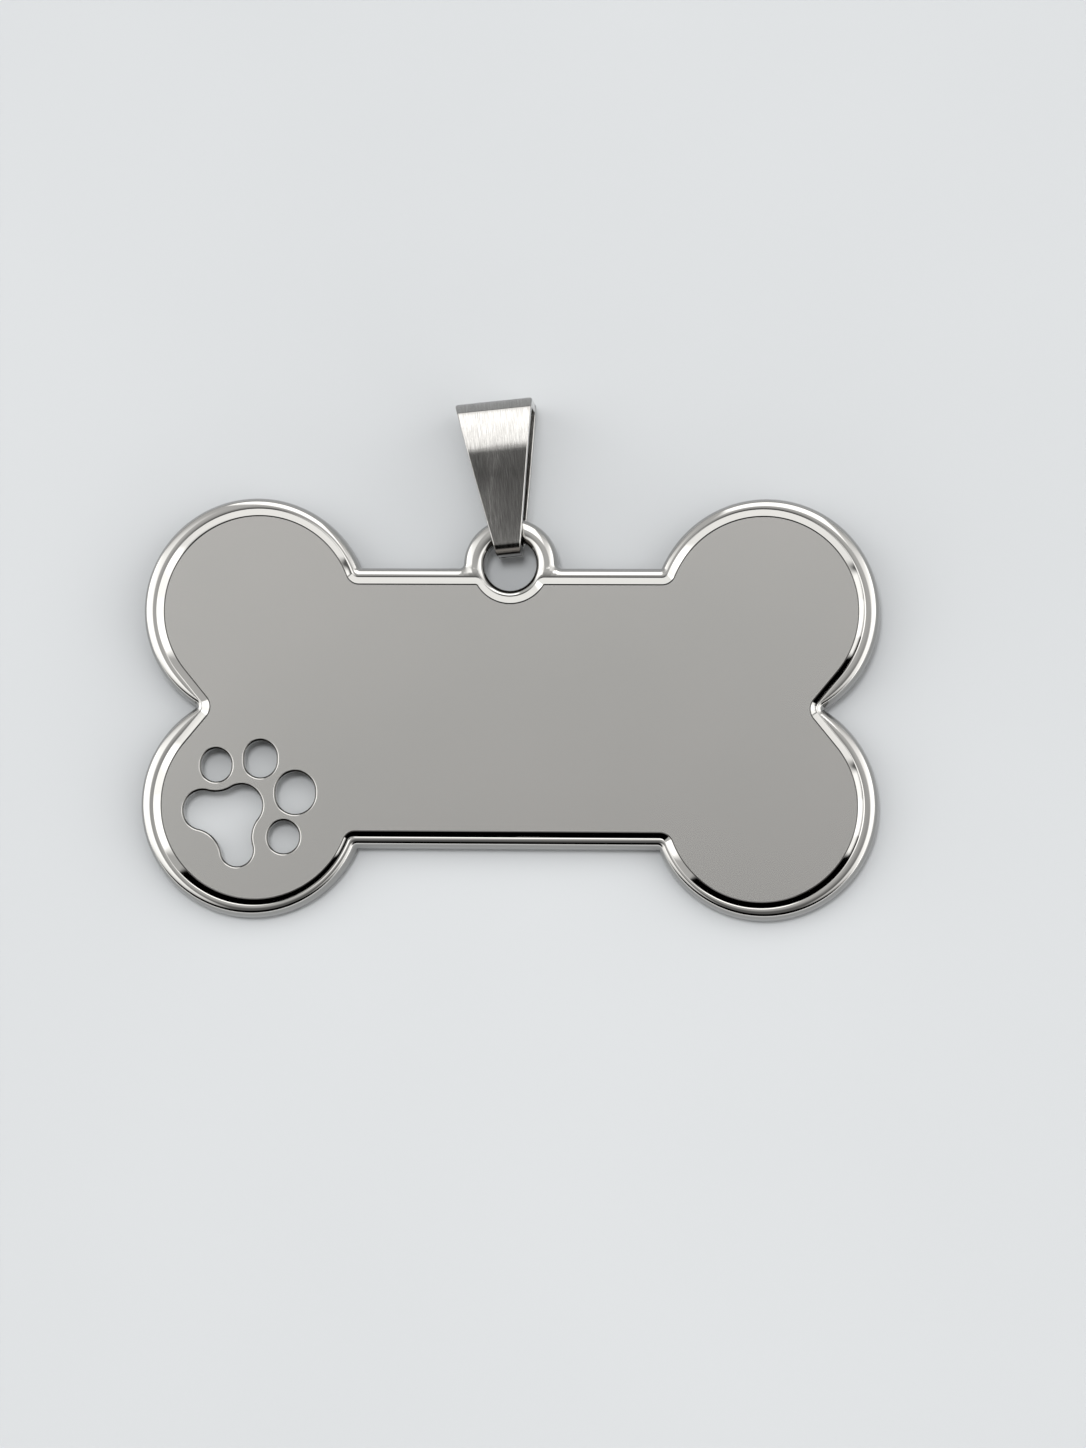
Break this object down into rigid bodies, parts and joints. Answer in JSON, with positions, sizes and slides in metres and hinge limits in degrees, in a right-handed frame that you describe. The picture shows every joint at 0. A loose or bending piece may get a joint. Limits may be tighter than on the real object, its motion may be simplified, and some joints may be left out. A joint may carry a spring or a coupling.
{
  "type": "pet id tag",
  "caption": "Bone-shaped metal pet tag with a raised rim, a recessed panel for engraving, a paw cut-out and a folded bail swinging in an eye.",
  "frame": {"origin": "middle of the flat back of the bone", "axes": "+X along the bone, +Y towards the eye and the bail, +Z out of the recessed front panel"},
  "size_m": [0.05, 0.0353, 0.0049],
  "materials": {
    "polished_steel": "mirror-polished rim and edges, finely satin panel",
    "brushed_steel": "brushed along the strip"
  },
  "bodies": {
    "tag": {"tag_plate": "polished_steel"},
    "bail": {"bail": "brushed_steel"}
  },
  "joints": [
    {"name": "bail_swing", "type": "hinge", "parent": "tag", "child": "bail", "pos_m": [-0.00026, 0.01219, 0.00085], "axis": [0.9945, 0.1045, 0], "range_deg": [-120, 120]}
  ]
}
